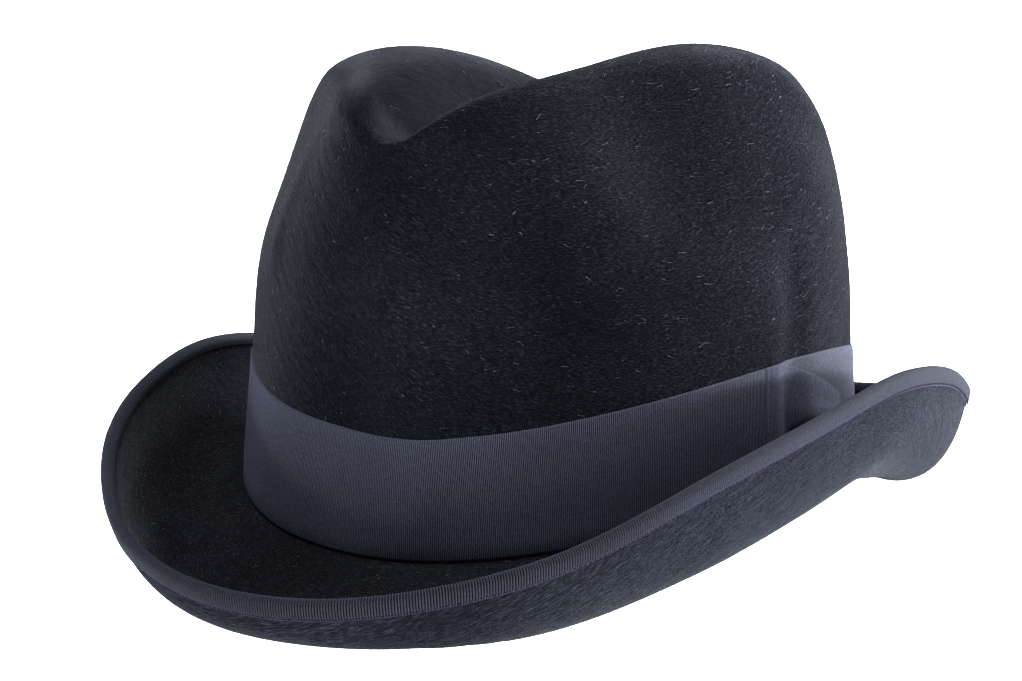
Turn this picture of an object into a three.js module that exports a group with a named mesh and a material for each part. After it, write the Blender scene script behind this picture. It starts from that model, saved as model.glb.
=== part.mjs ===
// A felt hat with a centre crease, two front pinches and a curled brim bound with ribbon.
// Millimetres, +Z up. The front of the hat faces -Y and the wearer's left is +X.
// The hat stands on the underside of its brim, which touches the floor z = 0 at front and back.

import * as THREE from 'three';

// Felt
const feltWall = 2.2;

// Foot of the crown, where the brim begins: an egg-shaped oval, lower at front and back
const headLength = 193;
const headWidth = 167;
const headRoundness = 2.05;
const headEgg = 0.15;
const headForward = 5;
const headLineHeight = 17.5;
const headLineSag = 6.9;

// Crown, measured from the mean head line to the top before it is dented
const crownHeight = 122;
const crownTilt = 0.045;

// Brim, measured over its edge, and how high the edge stands at the sides
const brimLength = 326;
const brimWidth = 212;
const brimRoundness = 2.15;
const brimEgg = 0.05;
const brimSideRise = 49;
const brimLeftLift = 2;
const brimLeftSag = 1;
const brimTwist = 4.5;

// Ribbon round the crown, its bow and the ribbon folded round the brim's edge
const ribbonHeight = 34.6;
const ribbonWall = 0.6;
const ribbonGap = 0.3;
const bindingUnder = 3.6;
const bindingOver = 1.6;
const bindingWall = 0.6;
const bowAngle = 77;
const knotWidth = 9;
const knotWall = 1.6;
const knotEdgeWall = 0.8;
const knotStand = 0.5;
const tailLength = 38;
const tailInset = 1.2;
const tailDrop = 12;
const tailRise = 4;
const tailLiftStart = 0.4;
const tailBulge = 3;
const tailGather = 0.35;
const tailStand = 1;
const ribbonFoot = 0.5;

// Front pinches, one on each side of the front
const pinchAngle = 54;
const pinchLean = 30;
const pinchFrontSpread = 21;
const pinchBackSpread = 32;
const pinchDepth = 13;
const pinchLevel = 0.86;
const pinchTall = 0.24;

// Upright ridge between the pinches. It starts left of the middle over the ribbon and leans right.
const prowHeight = 3.2;
const prowSpread = 10;
const prowFootAngle = 7;
const prowTopAngle = -6;
const prowStart = 0.25;

// Crown sections from the foot to the top. rise is a share of the crown's height, and front, side
// and back are shares of the foot oval's reach in those directions.
const crownSections = [
  { rise: 0.00, front: 1.000, side: 1.000, back: 1.000 },
  { rise: 0.14, front: 0.965, side: 0.988, back: 0.978 },
  { rise: 0.28, front: 0.920, side: 0.980, back: 0.962 },
  { rise: 0.44, front: 0.895, side: 0.970, back: 0.955 },
  { rise: 0.60, front: 0.880, side: 0.954, back: 0.945 },
  { rise: 0.75, front: 0.868, side: 0.920, back: 0.920 },
  { rise: 0.87, front: 0.850, side: 0.848, back: 0.855 },
  { rise: 0.95, front: 0.800, side: 0.730, back: 0.725 },
  { rise: 0.99, front: 0.580, side: 0.480, back: 0.460 },
  { rise: 1.00, front: 0.000, side: 0.000, back: 0.000 },
];

// Centre crease from front to back. along is a share of half the head length, top and depth are
// shares of the crown's height, and half and shift are shares of half the head width.
const creaseSections = [
  { along: -1.00, top: 0.930, depth: 0.01, half: 0.08, shift: -0.08 },
  { along: -0.86, top: 0.945, depth: 0.04, half: 0.10, shift: -0.08 },
  { along: -0.70, top: 0.970, depth: 0.14, half: 0.15, shift: -0.05 },
  { along: -0.50, top: 0.995, depth: 0.24, half: 0.22, shift: -0.02 },
  { along: -0.20, top: 1.010, depth: 0.27, half: 0.28, shift: 0.00 },
  { along: 0.10, top: 1.000, depth: 0.26, half: 0.30, shift: 0.00 },
  { along: 0.40, top: 0.965, depth: 0.19, half: 0.29, shift: 0.00 },
  { along: 0.70, top: 0.905, depth: 0.09, half: 0.25, shift: 0.00 },
  { along: 1.00, top: 0.860, depth: 0.02, half: 0.20, shift: 0.00 },
];

// Brim curl by the angle from the front. edge is the height of the edge, inner and outer the heights
// of the curve's two handles, all as shares of the side rise. bulge is how far the outer handle
// reaches, as a share of the brim's width there.
const brimSections = [
  { angle: 0, edge: 0.262, inner: 0.08, outer: -0.175, bulge: 0.93 },
  { angle: 22, edge: 0.408, inner: 0.10, outer: -0.16, bulge: 0.84 },
  { angle: 45, edge: 0.755, inner: 0.25, outer: 0.05, bulge: 0.75 },
  { angle: 68, edge: 0.930, inner: 0.35, outer: 0.35, bulge: 0.79 },
  { angle: 90, edge: 0.985, inner: 0.50, outer: 0.46, bulge: 0.97 },
  { angle: 112, edge: 0.870, inner: 0.30, outer: 0.38, bulge: 0.93 },
  { angle: 135, edge: 0.580, inner: 0.08, outer: 0.00, bulge: 0.86 },
  { angle: 158, edge: 0.380, inner: 0.10, outer: -0.16, bulge: 0.96 },
  { angle: 180, edge: 0.290, inner: 0.08, outer: -0.17, bulge: 0.96 },
];
const innerHandle = 0.42;

// Mesh fineness
const stations = 64;
const stationCrowding = 0.16;
const brimRows = 7;
const crownRows = 22;
const ribbonRows = 3;
const bindingTurns = 4;
const bowColumns = 8;
const bowRows = 8;
const brimProbes = 40;
const levelSteps = 30;
const derivativeStep = 0.002;

// Shape of the crease's walls: 2 is a bell, higher is flatter at the bottom and steeper beside it
const creaseEdge = 2.6;

const underRows = [0, bindingOver, bindingUnder];
const overRows = [0, bindingOver];
const { degToRad: radians, radToDeg: degrees, lerp, clamp } = THREE.MathUtils;

// A smooth curve through the rows of a table: key is the column that rises, column the one read.
function readTable(table, key, column, value, flatEnds = false) {
  const last = table.length - 1;
  let row = 0;
  while (row < last - 1 && value > table[row + 1][key]) row += 1;
  const slopeAt = (index) => {
    if (flatEnds && (index === 0 || index === last)) return 0;
    const before = table[Math.max(index - 1, 0)];
    const after = table[Math.min(index + 1, last)];
    return (after[column] - before[column]) / (after[key] - before[key]);
  };
  const span = table[row + 1][key] - table[row][key];
  const t = clamp((value - table[row][key]) / span, 0, 1);
  const start = table[row][column];
  const change = table[row + 1][column] - start;
  const leave = slopeAt(row) * span;
  const arrive = slopeAt(row + 1) * span;
  return start + t * leave + t * t * (3 * change - 2 * leave - arrive)
    + t * t * t * (leave + arrive - 2 * change);
}

// The crown's table is read by level, which runs evenly over its rows from 0 to 1.
const crownLevels = crownSections.map((section, index) => (
  { ...section, level: index / (crownSections.length - 1) }
));

const smooth = (share) => share * share * (3 - 2 * share);
const bell = (offset, spread) => Math.exp(-((offset / spread) ** 2));

// The angle phi runs from the front, positive towards the wearer's left.
function ovalPoint(length, width, roundness, phi) {
  const across = Math.abs(Math.sin(phi) / (width / 2)) ** roundness;
  const along = Math.abs(Math.cos(phi) / (length / 2)) ** roundness;
  const reach = (across + along) ** (-1 / roundness);
  return new THREE.Vector2(reach * Math.sin(phi), -reach * Math.cos(phi));
}

function footPoint(phi) {
  const flat = ovalPoint(headLength, headWidth, headRoundness, phi);
  flat.x *= 1 + headEgg * flat.y / (headLength / 2);
  return new THREE.Vector3(flat.x, flat.y, headLineHeight - headLineSag * Math.cos(2 * phi));
}

// The crown before it is moved back to its place over the brim.
function crownPoint(phi, level) {
  const rise = readTable(crownLevels, 'level', 'rise', level);
  const foot = footPoint(phi);
  const front = smooth((1 + Math.cos(phi)) / 2);
  const side = readTable(crownLevels, 'level', 'side', level);
  const frontReach = readTable(crownLevels, 'level', 'front', level);
  const backReach = readTable(crownLevels, 'level', 'back', level);
  const behindPinch = Math.abs(phi) - radians(pinchAngle + pinchLean * (pinchLevel - rise));
  const pinchSpread = radians(behindPinch < 0 ? pinchFrontSpread : pinchBackSpread);
  const pinch = (pinchDepth / (headWidth / 2)) * bell(behindPinch, pinchSpread)
    * bell(rise - pinchLevel, pinchTall);
  const prowAngle = radians(lerp(prowFootAngle, prowTopAngle, rise));
  const prow = (prowHeight / (headLength / 2)) * bell(phi - prowAngle, radians(prowSpread))
    * smooth(clamp(rise / prowStart, 0, 1));
  const share = 1 - pinch + prow;
  const x = foot.x * side * share;
  const y = foot.y * lerp(backReach, frontReach, front) * share;
  const along = y / (headLength / 2);
  const top = headLineHeight + readTable(creaseSections, 'along', 'top', along) * crownHeight
    + crownTilt * x;
  const half = readTable(creaseSections, 'along', 'half', along) * headWidth / 2;
  const depth = readTable(creaseSections, 'along', 'depth', along) * crownHeight;
  const shift = readTable(creaseSections, 'along', 'shift', along) * headWidth / 2;
  const dent = depth * Math.exp(-(Math.abs((x - shift) / half) ** creaseEdge)) * rise ** 3;
  return new THREE.Vector3(x, y - headForward, lerp(foot.z, top, rise) - dent);
}

// The upper face of the brim. out runs from 0 at the foot of the crown to 1 at the edge.
function brimPoint(phi, out) {
  const foot = footPoint(phi);
  foot.y -= headForward;
  const edge = ovalPoint(brimLength, brimWidth, brimRoundness, phi);
  edge.x *= 1 + brimEgg * edge.y / (brimLength / 2);
  const angle = Math.abs(degrees(phi));
  const read = (column) => readTable(brimSections, 'angle', column, angle, true);
  const heights = [
    foot.z,
    read('inner') * brimSideRise,
    read('outer') * brimSideRise - brimLeftSag * Math.sin(phi) - brimTwist * Math.sin(2 * phi),
    read('edge') * brimSideRise + brimLeftLift * Math.sin(phi),
  ];
  const reaches = [0, innerHandle, read('bulge'), 1];
  const weights = [(1 - out) ** 3, 3 * out * (1 - out) ** 2, 3 * out ** 2 * (1 - out), out ** 3];
  const mix = (values) => weights.reduce((sum, weight, index) => sum + weight * values[index], 0);
  const reach = mix(reaches);
  return new THREE.Vector3(
    lerp(foot.x, edge.x, reach),
    lerp(foot.y, edge.y, reach),
    mix(heights),
  );
}

// How far out the brim is, as brimPoint reads it, at a distance from the edge along the felt.
function outAtDistance(phi, distance) {
  let from = brimPoint(phi, 1);
  let covered = 0;
  for (let step = 1; step <= brimProbes; step += 1) {
    const to = brimPoint(phi, 1 - step / brimProbes);
    const stretch = from.distanceTo(to);
    if (covered + stretch >= distance) {
      return 1 - (step - 1 + (distance - covered) / stretch) / brimProbes;
    }
    covered += stretch;
    from = to;
  }
  return 0;
}

// The crown level that lies at a height over the foot of the crown.
function levelAtHeight(phi, height) {
  const target = height / (headLineHeight + crownHeight - footPoint(phi).z);
  let low = 0;
  let high = 1;
  for (let step = 0; step < levelSteps; step += 1) {
    const middle = (low + high) / 2;
    if (readTable(crownLevels, 'level', 'rise', middle) < target) low = middle;
    else high = middle;
  }
  return (low + high) / 2;
}

// A place on a surface with the direction that points out of the felt. Shares run towards the top.
function placeOn(surface, phi, share) {
  const before = Math.max(share - derivativeStep, 0);
  const after = Math.min(share + derivativeStep, 1);
  const round = surface(phi + derivativeStep, share).sub(surface(phi - derivativeStep, share));
  const up = surface(phi, after).sub(surface(phi, before));
  const normal = round.cross(up).normalize();
  return { point: surface(phi, share), normal, up: up.normalize() };
}
const onCrown = (phi, level) => placeOn(crownPoint, phi, level);
const onBrim = (phi, out) => placeOn((angle, share) => brimPoint(angle, 1 - share), phi, 1 - out);
const offset = (place, distance) => place.point.clone().addScaledVector(place.normal, distance);

// Stations round the hat, closer together at the front and back.
const stationAngles = Array.from({ length: stations }, (unused, index) => {
  const even = -Math.PI + 2 * Math.PI * index / stations;
  return even - stationCrowding * Math.sin(2 * even);
});

// A solid through rings of points. It closes on itself, or at a pole point at each end.
function loft(rings, poles) {
  const round = rings[0].length;
  const positions = rings.flat().concat(poles ?? []);
  const faces = [];
  const closing = poles ? rings.length - 1 : rings.length;
  for (let ring = 0; ring < closing; ring += 1) {
    const base = ring * round;
    const next = ((ring + 1) % rings.length) * round;
    for (let index = 0; index < round; index += 1) {
      const beside = (index + 1) % round;
      faces.push([base + index, base + beside, next + beside]);
      faces.push([base + index, next + beside, next + index]);
    }
  }
  if (poles) {
    const lastRing = (rings.length - 1) * round;
    const startPole = rings.length * round;
    for (let index = 0; index < round; index += 1) {
      const beside = (index + 1) % round;
      faces.push([startPole, beside, index]);
      faces.push([startPole + 1, lastRing + index, lastRing + beside]);
    }
  }
  return meshGeometry(positions, faces);
}

// A thin piece between an outer and an inner sheet of points, with the rim closed all round.
function slab(outer, inner) {
  const rows = outer[0].length;
  const last = outer.length - 1;
  const top = rows - 1;
  const outside = (column, row) => column * rows + row;
  const inside = (column, row) => outer.length * rows + column * rows + row;
  const faces = [];
  const quad = (a, b, c, d) => faces.push([a, b, c], [a, c, d]);
  for (let column = 0; column < last; column += 1) {
    const beside = column + 1;
    for (let row = 0; row < top; row += 1) {
      const over = row + 1;
      quad(outside(column, row), outside(beside, row), outside(beside, over), outside(column, over));
      quad(inside(column, row), inside(column, over), inside(beside, over), inside(beside, row));
    }
    quad(outside(column, 0), inside(column, 0), inside(beside, 0), outside(beside, 0));
    quad(outside(column, top), outside(beside, top), inside(beside, top), inside(column, top));
  }
  for (let row = 0; row < top; row += 1) {
    const over = row + 1;
    quad(outside(0, row), outside(0, over), inside(0, over), inside(0, row));
    quad(outside(last, row), inside(last, row), inside(last, over), outside(last, over));
  }
  return meshGeometry(outer.flat().concat(inner.flat()), faces);
}

function meshGeometry(points, faces) {
  const geometry = new THREE.BufferGeometry();
  const positions = points.flatMap((point) => point.toArray());
  geometry.setAttribute('position', new THREE.Float32BufferAttribute(positions, 3));
  geometry.setIndex(faces.flat());
  geometry.computeVertexNormals();
  return geometry;
}

const shares = (count) => Array.from({ length: count + 1 }, (unused, index) => index / count);

// Felt body: the outer skin runs from the brim's edge over its upper face and up the crown, and the
// inner skin lies one wall inside it. Where the brim meets the floor the felt is pressed flat.
function feltColumn(phi) {
  const inward = [];
  underRows.forEach((distance) => inward.push(onBrim(phi, outAtDistance(phi, distance))));
  const lastOut = outAtDistance(phi, bindingUnder);
  shares(brimRows).slice(1, -1).forEach((share) => inward.push(onBrim(phi, lastOut * (1 - share))));
  const foot = onCrown(phi, 0);
  foot.normal.add(onBrim(phi, 0).normal).normalize();
  inward.push(foot);
  shares(crownRows).slice(1, -1).forEach((share) => inward.push(onCrown(phi, share)));
  const outer = inward.map((place) => place.point.clone());
  const inner = inward.map((place) => offset(place, -feltWall));
  outer.forEach((point) => { point.z = Math.max(point.z, feltWall); });
  inner.forEach((point) => { point.z = Math.max(point.z, 0); });
  return inner.reverse().concat(outer);
}

function feltBody() {
  const columns = stationAngles.map(feltColumn);
  const rings = columns[0].map((unused, row) => columns.map((column) => column[row]));
  const top = crownPoint(0, 1);
  const below = top.clone();
  below.z -= feltWall;
  return loft(rings, [below, top]);
}

// Ribbon round the foot of the crown.
function ribbonBand() {
  const heights = shares(ribbonRows).map((share) => lerp(ribbonFoot, ribbonHeight, share));
  const columns = stationAngles.map((phi) => {
    const places = heights.map((height) => onCrown(phi, levelAtHeight(phi, height)));
    const outer = places.map((place) => offset(place, ribbonGap + ribbonWall));
    const inner = places.map((place) => offset(place, ribbonGap));
    return outer.concat(inner.reverse());
  });
  return loft(columns[0].map((unused, row) => columns.map((column) => column[row])));
}

// Binding: the section wraps the edge of the brim, from under it to over it, and returns inside.
function bindingColumn(phi) {
  const wrap = (clearance) => {
    const path = [];
    const places = (rows) => rows.slice(1).map((row) => onBrim(phi, outAtDistance(phi, row)));
    places(underRows).reverse().forEach((place) => path.push(offset(place, -feltWall - clearance)));
    const edge = onBrim(phi, 1);
    const middle = offset(edge, -feltWall / 2);
    const radius = feltWall / 2 + clearance;
    shares(bindingTurns).forEach((share) => {
      const turn = Math.PI * share;
      path.push(middle.clone()
        .addScaledVector(edge.normal, -radius * Math.cos(turn))
        .addScaledVector(edge.up, -radius * Math.sin(turn)));
    });
    places(overRows).forEach((place) => path.push(offset(place, clearance)));
    return path;
  };
  return wrap(ribbonGap + bindingWall).concat(wrap(ribbonGap).reverse());
}

function brimBinding() {
  const columns = stationAngles.map(bindingColumn);
  return loft(columns[0].map((unused, row) => columns.map((column) => column[row])));
}

// A sheet laid over the ribbon on the wearer's left. span gives its start and end along the ribbon
// in millimetres behind the bow's middle, lower and upper the heights of its edges, and stand how
// far it stands off the ribbon.
function sheetOverRibbon(start, end, lower, upper, stand, wall) {
  const outer = [];
  const inner = [];
  shares(bowColumns).forEach((share) => {
    const along = lerp(start, end, share);
    const phi = radians(bowAngle) + along / (headLength / 2);
    const rows = shares(bowRows).map((rowShare) => {
      const height = lerp(lower(share), upper(share), rowShare);
      const clearance = 2 * ribbonGap + ribbonWall + stand(share, rowShare);
      return { place: onCrown(phi, levelAtHeight(phi, height)), clearance };
    });
    outer.push(rows.map(({ place, clearance }) => offset(place, clearance + wall(share))));
    inner.push(rows.map(({ place, clearance }) => offset(place, clearance)));
  });
  return slab(outer, inner);
}

// The wing of the bow behind the knot: two lobes with a pleat between them.
function bowTail() {
  const lower = (share) => ribbonFoot + tailLiftStart + tailRise * smooth(share);
  const upper = (share) => ribbonHeight - tailInset - tailDrop * smooth(share) * share;
  const lobes = (rowShare) => Math.abs(Math.sin(2 * Math.PI * rowShare));
  const stand = (share, rowShare) => (
    tailStand * share + tailBulge * lerp(tailGather, 1, share) * lobes(rowShare)
  );
  const start = knotWidth / 2 + ribbonGap;
  return sheetOverRibbon(start, tailLength, lower, upper, stand, () => ribbonWall);
}

function bowKnot() {
  const wall = (share) => knotEdgeWall + (knotWall - knotEdgeWall) * Math.sin(Math.PI * share);
  const lower = () => ribbonFoot;
  const upper = () => ribbonHeight + knotStand;
  return sheetOverRibbon(-knotWidth / 2, knotWidth / 2, lower, upper, () => 0, wall);
}

function piece(name, geometry, color, roughness) {
  const material = new THREE.MeshStandardMaterial({ color, roughness, metalness: 0 });
  const mesh = new THREE.Mesh(geometry, material);
  mesh.name = name;
  return mesh;
}

const hat = new THREE.Group();
hat.add(piece('felt_body', feltBody(), 0x0d0f16, 0.95));
hat.add(piece('ribbon_band', ribbonBand(), 0x2b2f3a, 0.7));
hat.add(piece('brim_binding', brimBinding(), 0x2b2f3a, 0.7));
hat.add(piece('bow_knot', bowKnot(), 0x2b2f3a, 0.7));
hat.add(piece('bow_tail', bowTail(), 0x2b2f3a, 0.7));

export default hat;
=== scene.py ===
# A navy felt hat on a pale floor: napped felt, ribbed ribbons, stitches and stray fibres.
# Lengths are in millimetres, in the frame's own axes, and turn into metres where a mesh is made.
# The front of the hat faces -Y, the wearer's left is +X, and it stands on the floor z = 0.

import math

import bpy
import numpy as np
from mathutils import Matrix, Vector


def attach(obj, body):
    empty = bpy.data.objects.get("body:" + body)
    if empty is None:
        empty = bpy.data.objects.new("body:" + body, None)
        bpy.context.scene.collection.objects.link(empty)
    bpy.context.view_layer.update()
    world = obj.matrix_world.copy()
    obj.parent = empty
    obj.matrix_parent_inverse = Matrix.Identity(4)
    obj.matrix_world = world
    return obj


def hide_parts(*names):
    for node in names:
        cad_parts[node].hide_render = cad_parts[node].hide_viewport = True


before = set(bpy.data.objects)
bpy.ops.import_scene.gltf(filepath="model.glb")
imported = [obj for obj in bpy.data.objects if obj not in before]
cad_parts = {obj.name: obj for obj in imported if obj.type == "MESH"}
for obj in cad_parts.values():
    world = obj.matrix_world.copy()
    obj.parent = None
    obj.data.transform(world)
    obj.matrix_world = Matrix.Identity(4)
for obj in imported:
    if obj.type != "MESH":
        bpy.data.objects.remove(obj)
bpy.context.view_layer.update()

MM = 0.001

# Felt
FELT_WALL = 2.2

# Foot of the crown
HEAD_LENGTH = 193
HEAD_WIDTH = 167
HEAD_ROUNDNESS = 2.05
HEAD_EGG = 0.15
HEAD_FORWARD = 5
HEAD_LINE_HEIGHT = 15.4
HEAD_LINE_SAG = 4.7

# Crown
CROWN_HEIGHT = 124.1
CROWN_TILT = 0.045

# Brim
BRIM_LENGTH = 326
BRIM_WIDTH = 212
BRIM_ROUNDNESS = 2.15
BRIM_EGG = 0.05
BRIM_SIDE_RISE = 49
BRIM_LEFT_LIFT = 2
BRIM_LEFT_SAG = 1
BRIM_TWIST = 4.5
BRIM_INNER_HANDLE = 0.42

# Ribbons
RIBBON_HEIGHT = 34.6
RIBBON_WALL = 0.5
RIBBON_GAP = 0.05
RIBBON_FOOT = 0.5
BINDING_UNDER = 3.6
BINDING_OVER = 1.6
BINDING_WALL = 0.6
BINDING_GAP = 0.2
BINDING_EDGE_RIBS = 0.2
BINDING_EDGE_SINK = 0.3
BOW_ANGLE = 77
KNOT_WIDTH = 9
KNOT_WALL = 1.0
KNOT_FRONT_WALL = 0.1
KNOT_BACK_WALL = 0.7
KNOT_STAND = 0.2
KNOT_CURVE = 1.5
TAIL_LENGTH = 38
TAIL_INSET = 1.0
TAIL_DROP = 11
TAIL_DROP_POWER = 1.35
TAIL_RISE = 4
TAIL_LIFT_START = 0.4
TAIL_GATHER = 0.15
TAIL_OPENS = 0.4
TAIL_STAND = 0.8
TAIL_SINKS = 0.45
ON_RIBBON = 2 * RIBBON_GAP + RIBBON_WALL
MIN_WALL = 0.03
SELVEDGE_SHARE = 0.004
MIN_FLAT = 10.5

# Front pinches and the upright ridge between them
PINCH_ANGLE = 54
PINCH_LEAN = 30
PINCH_FRONT_SPREAD = 21
PINCH_BACK_SPREAD = 32
PINCH_DEPTH = 13
PINCH_LEVEL = 0.86
PINCH_TALL = 0.24
PROW_HEIGHT = 3.2
PROW_SPREAD = 10
PROW_FOOT_ANGLE = 7
PROW_TOP_ANGLE = -6
PROW_START = 0.25
CREASE_EDGE = 2.6
CREASE_FADE = 3


def table(columns, *rows):
    """A table with named columns, as arrays."""
    return dict(zip(columns.split(), np.array(rows, float).T))


# Crown sections from the foot to the top. rise is a share of the crown's height, and front, side
# and back are shares of the foot oval's reach in those directions.
CROWN_SECTIONS = table(
    "rise front side back",
    (0.00, 1.000, 1.000, 1.000),
    (0.14, 0.965, 0.988, 0.978),
    (0.28, 0.920, 0.980, 0.962),
    (0.44, 0.895, 0.970, 0.955),
    (0.60, 0.880, 0.954, 0.945),
    (0.75, 0.868, 0.920, 0.920),
    (0.87, 0.850, 0.848, 0.855),
    (0.95, 0.800, 0.730, 0.725),
    (0.99, 0.580, 0.480, 0.460),
    (1.00, 0.000, 0.000, 0.000),
)
CROWN_SECTIONS["level"] = np.linspace(0, 1, len(CROWN_SECTIONS["rise"]))

# Centre crease from front to back. along is a share of half the head length, depth a share of the
# crown's height, and half and shift are shares of half the head width.
CREASE_SECTIONS = table(
    "along top depth half shift",
    (-1.00, 0.930, 0.01, 0.08, -0.08),
    (-0.86, 0.945, 0.04, 0.10, -0.08),
    (-0.70, 0.970, 0.14, 0.15, -0.05),
    (-0.50, 0.995, 0.24, 0.22, -0.02),
    (-0.20, 1.010, 0.27, 0.28, 0.00),
    (0.10, 1.000, 0.26, 0.30, 0.00),
    (0.40, 0.965, 0.19, 0.29, 0.00),
    (0.70, 0.905, 0.09, 0.25, 0.00),
    (1.00, 0.860, 0.02, 0.20, 0.00),
)

# Brim curl by the angle from the front. edge is the height of the edge, inner and outer are the
# heights of the curve's two handles, all as shares of the side rise, and bulge is the outer
# handle's reach.
BRIM_SECTIONS = table(
    "angle edge inner outer bulge",
    (0, 0.262, 0.08, -0.175, 0.93),
    (22, 0.408, 0.10, -0.16, 0.84),
    (45, 0.755, 0.25, 0.05, 0.75),
    (68, 0.930, 0.35, 0.35, 0.79),
    (90, 0.985, 0.50, 0.46, 0.97),
    (112, 0.870, 0.30, 0.38, 0.93),
    (135, 0.580, 0.08, 0.00, 0.86),
    (158, 0.380, 0.10, -0.16, 0.96),
    (180, 0.290, 0.08, -0.17, 0.96),
)

# Fine ridges and hollows that run down the crown. Each runs from its high rise to its low rise at
# the angles named, fades over the share of the rise in fade, and stands out by height.
CROWN_FORMS = table(
    "high low high_angle low_angle spread fade height",
    (0.92, 0.52, 31, 52, 8.0, 0.12, 1.3),
    (0.84, 0.60, 52, 66, 11.0, 0.14, -0.9),
    (0.90, 0.50, -36, -47, 3.6, 0.12, 1.5),
    (0.86, 0.42, -24, -36, 9.0, 0.15, -0.8),
    (0.60, -0.10, 85, 83, 5.0, 0.12, -1.3),
    (0.60, -0.10, 74, 72, 8.0, 0.12, 0.4),
    (0.64, 0.55, 92, 80, 4.0, 0.05, 0.7),
    (0.97, 0.72, 98, 118, 6.0, 0.10, 1.0),
    (0.85, 0.62, 84, 94, 9.0, 0.12, -0.6),
    (0.78, 0.28, 114, 116, 16.0, 0.20, 1.3),
    (0.92, -0.10, -70, -68, 17.0, 0.20, 1.0),
    (0.62, -0.10, -17, -16, 13.0, 0.20, -1.6),
    (0.62, -0.10, 30, 30, 13.0, 0.20, -0.9),
    (0.66, -0.10, 4, 7, 3.5, 0.25, 0.7),
    (0.90, 0.55, 150, 158, 9.0, 0.15, 0.8),
    (0.85, 0.50, -95, -82, 9.0, 0.14, 0.8),
    (0.80, 0.35, -140, -132, 10.0, 0.15, 0.9),
)

# Unevenness of the crown: waves that run turns times round it and climb with its rise
UNEVEN_WAVES = table(
    "turns climb start height",
    (3, 5, 1, 1.0),
    (7, -9, 2, 0.6),
    (11, 13, 0, 0.4),
)
UNEVEN_HEIGHT = 0.35
UNEVEN_START = 0.4

# Section of the bow's wing from its lower to its upper edge: a small lower lobe, and an upper one
# that hangs over the pleat between them. height is a share of the wing's height there, and stand
# is how far it stands off the band where the wing has opened.
WING_SECTIONS = table(
    "row height stand",
    (0.00, 0.00, 0.1),
    (0.16, 0.18, 0.9),
    (0.30, 0.38, 0.9),
    (0.42, 0.53, 0.1),
    (0.52, 0.50, 3.0),
    (0.62, 0.59, 3.9),
    (0.80, 0.79, 2.4),
    (1.00, 1.00, 1.2),
)

# Fineness of the meshes
WING_ROWS = 44
KNOT_ROWS = 15
BAND_ROWS = 9
BINDING_TURNS = 7
BINDING_INNER_TURNS = 4
FELT_STATIONS = 288
STATION_CROWDING = 0.16
FELT_CROWN_ROWS = 96
FELT_BRIM_ROWS = 34
BRIM_PROBES = 60
RISE_PROBE_COUNT = 400
LINE_PROBES = 1441
DERIVATIVE_STEP = 0.002

# Ribs of the ribbons
RIB_PITCH = 0.58
BINDING_RIB_PITCH = 0.74
RIB_HEIGHT = 0.18
BINDING_RIB_HEIGHT = 0.45
RIB_SAMPLES = (0.0, 0.34, 0.66)
RIB_CURVE = 0.8
SELVEDGE = 0.7
SELVEDGE_RIBS = 0.35
SELVEDGE_SINK = 0.25

# Stitches that hold the binding. Each row of the profile is a share of the stitch's length, and
# the width and rise there as shares of its radius.
STITCH_PITCH = 1.48
STITCH_LENGTH = 1.3
STITCH_THICKNESS = 0.36
STITCH_INSET = 0.55
STITCH_SIDES = 6
STITCH_PROFILE = (
    (0.0, 0.35, 0.0),
    (0.15, 0.85, 0.3),
    (0.5, 1.0, 0.55),
    (0.85, 0.85, 0.3),
    (1.0, 0.35, 0.0),
)
SEAM_SINK = 0.25
SEAM_RIBS = 0.4
SEAM_WIDTH = 0.45

# Nap: short fibres that lie round the hat, and a few long pale ones
NAP_FIBRES_CROWN = 46000
NAP_FIBRES_BRIM = 30000
NAP_FIBRES_UNDER = 30000
STRAY_FIBRES = 2200
NAP_LENGTH = 1.3
NAP_WIDTH = 0.06
NAP_LIFT = 18
NAP_TURN = 0.42
STRAY_LENGTH = 2.3
STRAY_WIDTH = 0.038
STRAY_LIFT = 24
NAP_SWAY = 0.45
NAP_SWAY_ANGLE = 150
NAP_LIFT_RANGE = (0.2, 1.8)
NAP_LENGTH_RANGE = (0.5, 1.3)
NAP_WIDTH_RANGE = (0.7, 1.2)
NAP_FLOOR_GAP = 0.05
FLOW_RADIUS = 95
INNER_SKIN_FLOW = 3 * HEAD_LENGTH
INNER_SKIN_MARK = 2 * HEAD_LENGTH

# Camera at the photograph's angle, aimed from a point over the middle of the crown's foot
CAMERA_AZIMUTH = 24.23
CAMERA_ELEVATION = 9.77
CAMERA_ROLL = 0.48
CAMERA_DISTANCE = 1318.1
CAMERA_MIDDLE_HEIGHT = 18.5
CAMERA_AIM_ACROSS = 7.4
CAMERA_AIM_UP = -35.7
FOCAL_PIXELS = 4659.16
FRAME_PIXELS = 1022
SENSOR_WIDTH = 36

# The room, brighter towards one side, and the glow of its floor
ROOM_BRIGHT_SIDE = (0.75, 0.66, 0.0)
ROOM_DIM = 0.10
ROOM_BRIGHT = 1.7
ROOM_TURN = -0.5
FLOOR_HALF_SIZE = 6.0
FLOOR_GLOW = 3.4

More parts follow.
